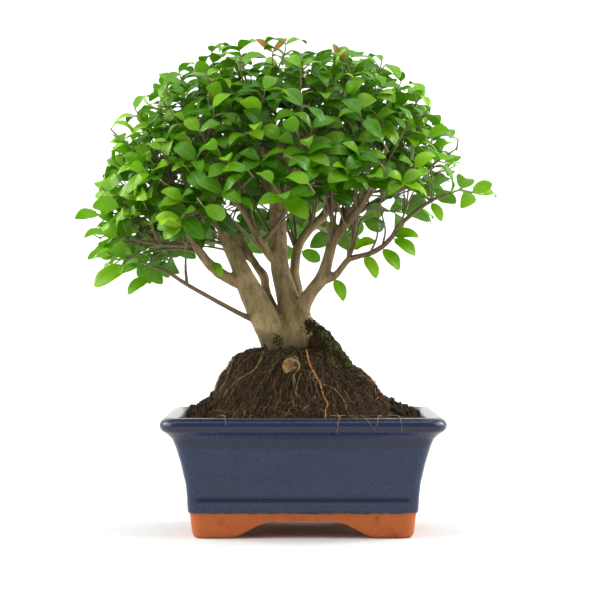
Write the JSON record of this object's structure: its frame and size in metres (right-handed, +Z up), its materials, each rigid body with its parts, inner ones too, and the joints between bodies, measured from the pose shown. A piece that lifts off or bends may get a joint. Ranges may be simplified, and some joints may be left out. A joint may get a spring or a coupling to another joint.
{
  "type": "potted bonsai tree",
  "caption": "Small broadleaf bonsai with a forked trunk on a raised mound of soil and roots, in a glazed rectangular pot with bare clay feet.",
  "frame": {"origin": "on the surface the pot stands on, under the middle of the whole object's footprint, crown included", "axes": "+Z up, -Y the front that the picture shows, +X to the viewer's right, along the pot's long side"},
  "size_m": [0.31, 0.2558, 0.3588],
  "materials": {
    "blue_glazed_stoneware": "gloss",
    "peat_and_roots": "matte",
    "bark": "matte",
    "leaf_green": "satin",
    "plastic_netting": "matte"
  },
  "bodies": {
    "root": {"drain_screen_left": "plastic_netting", "drain_screen_right": "plastic_netting", "pot": "blue_glazed_stoneware", "root_ball": "peat_and_roots", "spray_00": "leaf_green", "spray_01": "leaf_green", "spray_02": "leaf_green", "spray_03": "leaf_green", "spray_04": "leaf_green", "spray_05": "leaf_green", "spray_06": "leaf_green", "spray_07": "leaf_green", "spray_08": "leaf_green", "spray_09": "leaf_green", "spray_10": "leaf_green", "spray_11": "leaf_green", "spray_12": "leaf_green", "spray_13": "leaf_green", "spray_14": "leaf_green", "spray_15": "leaf_green", "spray_16": "leaf_green", "spray_17": "leaf_green", "spray_18": "leaf_green", "spray_19": "leaf_green", "spray_20": "leaf_green", "spray_21": "leaf_green", "spray_22": "leaf_green", "spray_23": "leaf_green", "spray_24": "leaf_green", "spray_25": "leaf_green", "spray_26": "leaf_green", "spray_27": "leaf_green", "spray_28": "leaf_green", "spray_29": "leaf_green", "spray_30": "leaf_green", "spray_31": "leaf_green", "spray_32": "leaf_green", "spray_33": "leaf_green", "spray_34": "leaf_green", "spray_35": "leaf_green", "spray_36": "leaf_green", "spray_37": "leaf_green", "spray_38": "leaf_green", "spray_39": "leaf_green", "spray_40": "leaf_green", "spray_41": "leaf_green", "spray_42": "leaf_green", "spray_43": "leaf_green", "spray_44": "leaf_green", "spray_45": "leaf_green", "spray_46": "leaf_green", "spray_47": "leaf_green", "spray_48": "leaf_green", "spray_49": "leaf_green", "spray_50": "leaf_green", "spray_51": "leaf_green", "tree_wood": "bark"}
  },
  "joints": []
}
